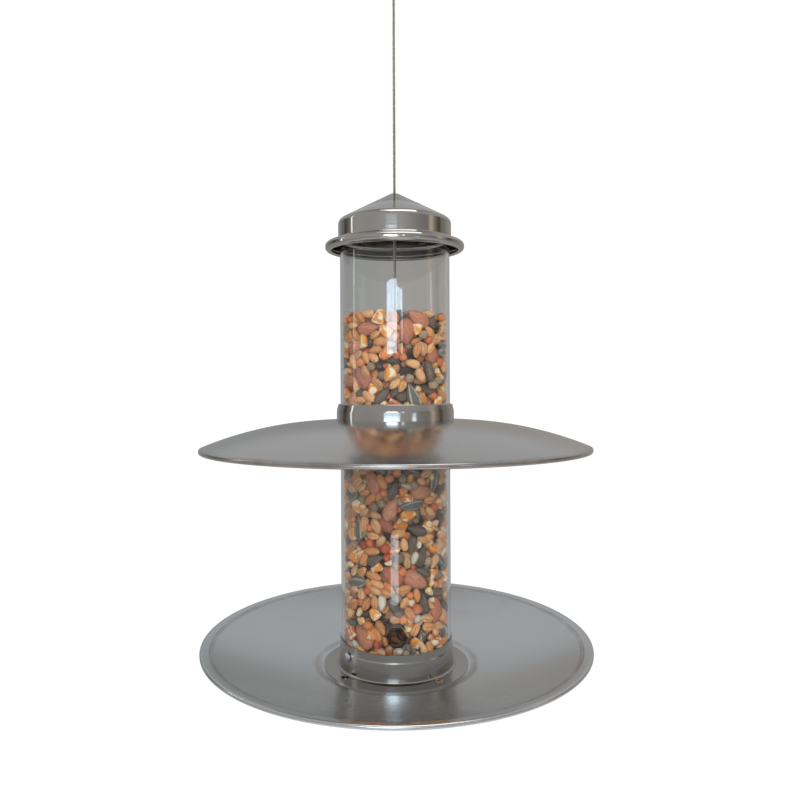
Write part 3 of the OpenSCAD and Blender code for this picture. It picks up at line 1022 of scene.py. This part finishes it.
def sunflower_material(name, ground, stripe, amount):
    """Long stripes that follow the husk, pale along both edges."""
    g = Grain(name)
    turn = g.math("ARCTAN2", g.z, g.y)
    wander = g.math("MULTIPLY", g.noise(g.local, 1.6, 3), 1.3)
    start = g.math("ADD", wander, g.math("MULTIPLY", g.first, 6.0))
    wave = g.math("SINE", g.math("ADD", g.math("MULTIPLY", turn, 5.0), start))
    lines = g.spread(wave, 0.55, 0.9, 0, g.spread(g.second, 0, 1, 0.25 * amount, amount))
    edges = g.spread(g.math("ABSOLUTE", g.math("SINE", turn)), 0.0, 0.3, amount, 0)
    stretched = g.join(g.math("MULTIPLY", g.x, 1.5), g.math("MULTIPLY", turn, 9.0), g.first)
    fine = g.spread(g.noise(stretched, 3, 3), 0.35, 0.65, 0, 1)
    base = g.mix(fine, ground, tuple(v * 1.9 for v in ground))
    return g.finish(g.mix(g.math("MAXIMUM", lines, edges), base, stripe), 0.48)


def seed_materials():
    """The material of each kind of grain."""
    maize = even_stops((226, 136, 44), (234, 160, 62), (214, 112, 44))
    grit = even_stops((236, 178, 84), (240, 218, 168), (228, 140, 60))
    sorghum = even_stops((184, 82, 48), (206, 112, 66), (222, 140, 84))
    vetch = even_stops((150, 126, 102), (172, 150, 124), (118, 98, 84))
    safflower = even_stops((226, 220, 204), (198, 188, 168))
    oat = even_stops((222, 188, 136), (200, 160, 112))
    return {
        "wheat": wheat_material(),
        "maize": maize_material("maize", maize),
        "grit": maize_material("grit", grit),
        "peanut": peanut_material(),
        "striped_sunflower": sunflower_material(
            "striped_sunflower", srgb(84, 82, 78), srgb(204, 198, 178), 0.85),
        "black_sunflower": sunflower_material(
            "black_sunflower", srgb(78, 68, 60), srgb(132, 116, 100), 0.4),
        "sorghum": plain_seed("sorghum", sorghum, 0.3, srgb(120, 50, 34)),
        "vetch": plain_seed("vetch", vetch, 0.4),
        "safflower": plain_seed("safflower", safflower, 0.4),
        "oat": plain_seed("oat", oat, 0.5),
    }


def core_material():
    """Painted shade: dark, lumpy brown that stands for grain in deep shade."""
    g = Material("seed_core")
    cells = g.add("ShaderNodeTexVoronoi", {"Vector": g.at, "Scale": 220.0}).outputs["Color"]
    grey = g.add("ShaderNodeRGBToBW", {0: cells}).outputs[0]
    colour = g.ramp(grey, [(0.2, srgb(40, 30, 24)), (0.5, srgb(84, 62, 44)), (0.9, srgb(60, 50, 44))])
    g.set(Base_Color=colour, Roughness=0.8)
    g.bump(g.noise(g.at, 200, 2), 0.8, 0.002)
    return g.material


# ---------------------------------------------------------------- assembly

# Colours of rings on the steel: brown for lines along creases and bends, partly wear and partly painted
# shade; blue-grey for a painted reflection; near black for painted shade on the tray where it shows through
# the flange's holes
BROWN = srgb(120, 98, 78)
PAINTED_BLUE_REFLECTION = srgb(98, 108, 122)
FLANGE_HOLE_SHADE = srgb(22, 18, 15)

# The dome: a brown line along the rolled rim, partly wear and partly painted shade
satin_dome = spun_steel("satin_dome", srgb(206, 204, 202), srgb(196, 194, 192), 0.17, 0.24, 0.35,
                        [(roof_r, 3.5, BROWN, 0.5)])
# The tray: a brown line along the crease, partly wear and partly painted shade; a painted blue-grey
# reflection just inside it; a band of painted shade along the step round the sunken floor; and painted shade
# under the flange, seen through its holes
satin_tray = spun_steel("satin_tray", srgb(213, 215, 216), srgb(204, 206, 208), 0.19, 0.27, 0.35,
                        [(crease_r + 0.6, 1.1, BROWN, 0.7), (crease_r - 1, 1.4, PAINTED_BLUE_REFLECTION, 0.5),
                         (recess_r + 3.5, 3.5, BROWN, 0.45), (rivet_circle_r, 5, FLANGE_HOLE_SHADE, 4)])
# Painted shade: the ring's steel is painted darker than the tray's, for the darker reflections that it shows;
# a brown line along its fillet, partly wear and partly painted shade
satin_ring_painted_darker = spun_steel("satin_ring_painted_darker", srgb(176, 173, 168), srgb(160, 157, 152), 0.13, 0.22, 0.6,
                        [(ring_fillet_r, 0.9, BROWN, 0.35)])
polished = spun_steel("polished_steel", srgb(186, 183, 178), srgb(174, 171, 166), 0.08, 0.14, 0.3)

wear(make_tray(), satin_tray)
wear(make_base_ring(), satin_ring_painted_darker)
wear(make_dome(), satin_dome)
wear(make_collar(), polished)
wear(make_lid(), polished)
wear(make_tube(), acrylic())

grain_draw = 5
grain_rng = np.random.default_rng(grain_draw)
grain_materials = seed_materials()
for label, piece in make_seed(grain_rng).items():
    wear(piece, grain_materials[label.rsplit("_", 1)[0]])
wear(make_seed_core(), core_material())

wear(cable, plain_metal("stranded_steel", srgb(214, 206, 190), srgb(160, 150, 134), 0.3, 0.5, 900))
zinc = plain_metal("zinc_plated", srgb(238, 238, 240), srgb(214, 216, 220), 0.22, 0.4)
brass = plain_metal("brass", srgb(232, 204, 148), srgb(196, 160, 108), 0.2, 0.36)
alloy = plain_metal("crimped_alloy", srgb(200, 200, 202), srgb(168, 168, 170), 0.3, 0.45)
for node in ("tube_screw_1", "tube_screw_2", "tube_nut_1", "tube_nut_2", "stop_washer"):
    wear(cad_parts[node], zinc)
for node in ("tray_rivet_1", "tray_rivet_2"):
    wear(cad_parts[node], brass)
for node in ("cable_stop", "eye_ferrule"):
    wear(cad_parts[node], alloy)
wear(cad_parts["eye_thimble"], zinc)
wear(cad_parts["roof_grip_ring"], rubber())


# ---------------------------------------------------------------- room and lights

BLACK = (0, 0, 0)
WHITE = (1, 1, 1)

# The room's walls: bearing in degrees from the far side, positive to the right, and colour
WALLS = [
    (-180, (0.57, 0.57, 0.575)), (-125, (0.48, 0.48, 0.475)), (-98, (0.52, 0.51, 0.49)),
    (-78, (0.24, 0.23, 0.21)), (-64, (0.075, 0.07, 0.05)), (-52, (0.24, 0.24, 0.23)),
    (-30, (0.36, 0.37, 0.38)), (-6, (0.285, 0.295, 0.285)), (6, (0.335, 0.31, 0.285)),
    (40, (0.42, 0.40, 0.38)), (70, (0.28, 0.27, 0.24)), (82, (0.09, 0.08, 0.06)),
    (92, (0.30, 0.27, 0.23)), (103, (0.78, 0.66, 0.50)), (112, (0.30, 0.29, 0.28)),
    (180, (0.57, 0.57, 0.575)),
]

# The room's floor and ceiling, and where its walls show, from 0 straight down to 1 straight up
FLOOR_AND_CEILING = [
    (0.0, (0.30, 0.28, 0.26)), (0.42, (0.34, 0.32, 0.30)), (0.5, BLACK), (0.60, BLACK),
    (0.72, (0.49, 0.50, 0.515)), (0.86, (0.50, 0.505, 0.51)), (0.94, (0.37, 0.37, 0.365)),
    (1.0, (0.35, 0.35, 0.345)),
]
WALL_PART = [(0.0, BLACK), (0.42, BLACK), (0.5, WHITE), (0.60, WHITE), (0.72, BLACK), (1.0, BLACK)]


def make_world():
    """White behind the object, and for reflections a grey room with darker and lighter uprights."""
    world = bpy.data.worlds.new("room")
    world.use_nodes = True
    bpy.context.scene.world = world
    g = Graph(world.node_tree)
    g.nodes.clear()
    x, y, z = g.split(g.add("ShaderNodeTexCoord").outputs["Generated"])
    bearing = g.math("MULTIPLY_ADD", g.math("ARCTAN2", x, y), 1 / (2 * math.pi), 0.5)
    height = g.math("MULTIPLY_ADD", z, 0.5, 0.5)
    walls = g.ramp(bearing, [(degrees / 360 + 0.5, colour) for degrees, colour in WALLS], "EASE")
    walls = g.mix(1.0, walls, g.ramp(height, WALL_PART, "EASE"), "MULTIPLY")
    room = g.mix(1.0, walls, g.ramp(height, FLOOR_AND_CEILING, "EASE"), "ADD")
    felt = g.add("ShaderNodeBackground", {"Color": room, "Strength": 1.0})
    seen = g.add("ShaderNodeBackground", {"Color": opaque(WHITE), "Strength": 1.05})
    g.add("ShaderNodeOutputWorld", {0: g.choose("Is Camera Ray", felt, seen)})


def make_window(name, at, target, width, height, power, colour):
    """An area light that also shows as a window in the steel and the tube."""
    data = bpy.data.lights.new(name, "AREA")
    data.shape = "RECTANGLE"
    data.size = width
    data.size_y = height
    data.energy = power
    data.color = colour
    light = bpy.data.objects.new(name, data)
    bpy.context.scene.collection.objects.link(light)
    away = Vector(at) - Vector(target)
    light.matrix_world = Matrix.Translation(at) @ away.to_track_quat("Z", "Y").to_matrix().to_4x4()
    light.visible_camera = False
    return light


def make_floor():
    """A pale floor far below the feeder."""
    size, low = 12.0, -1.6
    mesh = bpy.data.meshes.new("studio_floor")
    mesh.from_pydata([(-size, -size, low), (size, -size, low), (size, size, low), (-size, size, low)], [],
                     [(0, 1, 2, 3)])
    floor = bpy.data.objects.new("studio_floor", mesh)
    bpy.context.scene.collection.objects.link(floor)
    g = Material("studio_floor")
    g.set(Base_Color=(0.8, 0.79, 0.78, 1), Roughness=0.9)
    white = g.add("ShaderNodeEmission", {"Color": opaque(WHITE), "Strength": 1.05})
    g.links.new(g.choose("Is Camera Ray", g.shader, white), g.surface)
    mesh.materials.append(g.material)


eye_z = floor_z + 0.25
window_z = floor_z + 0.445
side_z = floor_z + 0.435
low_z = floor_z + 0.085
front_y = -1.7
eye = (0, 0, eye_z)
BLUISH = (0.64, 0.83, 1.0)

# name: place, what it faces, width, height, power, colour
WINDOWS = {
    "window": ((-0.20, front_y, window_z), (-0.20, 0, window_z), 0.62, 0.235, 3.3, BLUISH),
    "side_window": ((0.42, front_y, side_z), (0, 0, side_z), 0.10, 0.215, 0.25, BLUISH),
    "low_window": ((-0.22, front_y, low_z), (-0.22, 0, low_z), 0.9, 0.07, 1.1, BLUISH),
    "low_pane": ((1.0, -1.4, low_z), (0, 0, low_z), 0.20, 0.07, 0.2, BLUISH),
    "foot_window": ((-0.10, -1.75, eye_z - 0.62), eye, 0.5, 0.22, 1.1, (0.86, 0.93, 1.0)),
    "strip_left": ((-1.5, 0.1, eye_z + 0.3), eye, 0.05, 1.0, 0.6, (0.95, 0.97, 1.0)),
    "softbox_top": ((0.2, -0.5, eye_z + 1.5), eye, 1.2, 1.0, 8, (1.0, 0.985, 0.96)),
    "fill": ((0.3, -1.9, eye_z + 0.5), eye, 1.6, 1.2, 38, (1.0, 0.97, 0.93)),
}

make_world()
lights = {name: make_window(name, *settings) for name, settings in WINDOWS.items()}

# The fill light brightens the seed without showing in the steel or the tube
fill = lights["fill"]
fill.visible_glossy = False
fill.visible_transmission = False
make_floor()

bpy.context.scene.view_settings.view_transform = "Standard"
bpy.context.scene.view_settings.look = "None"
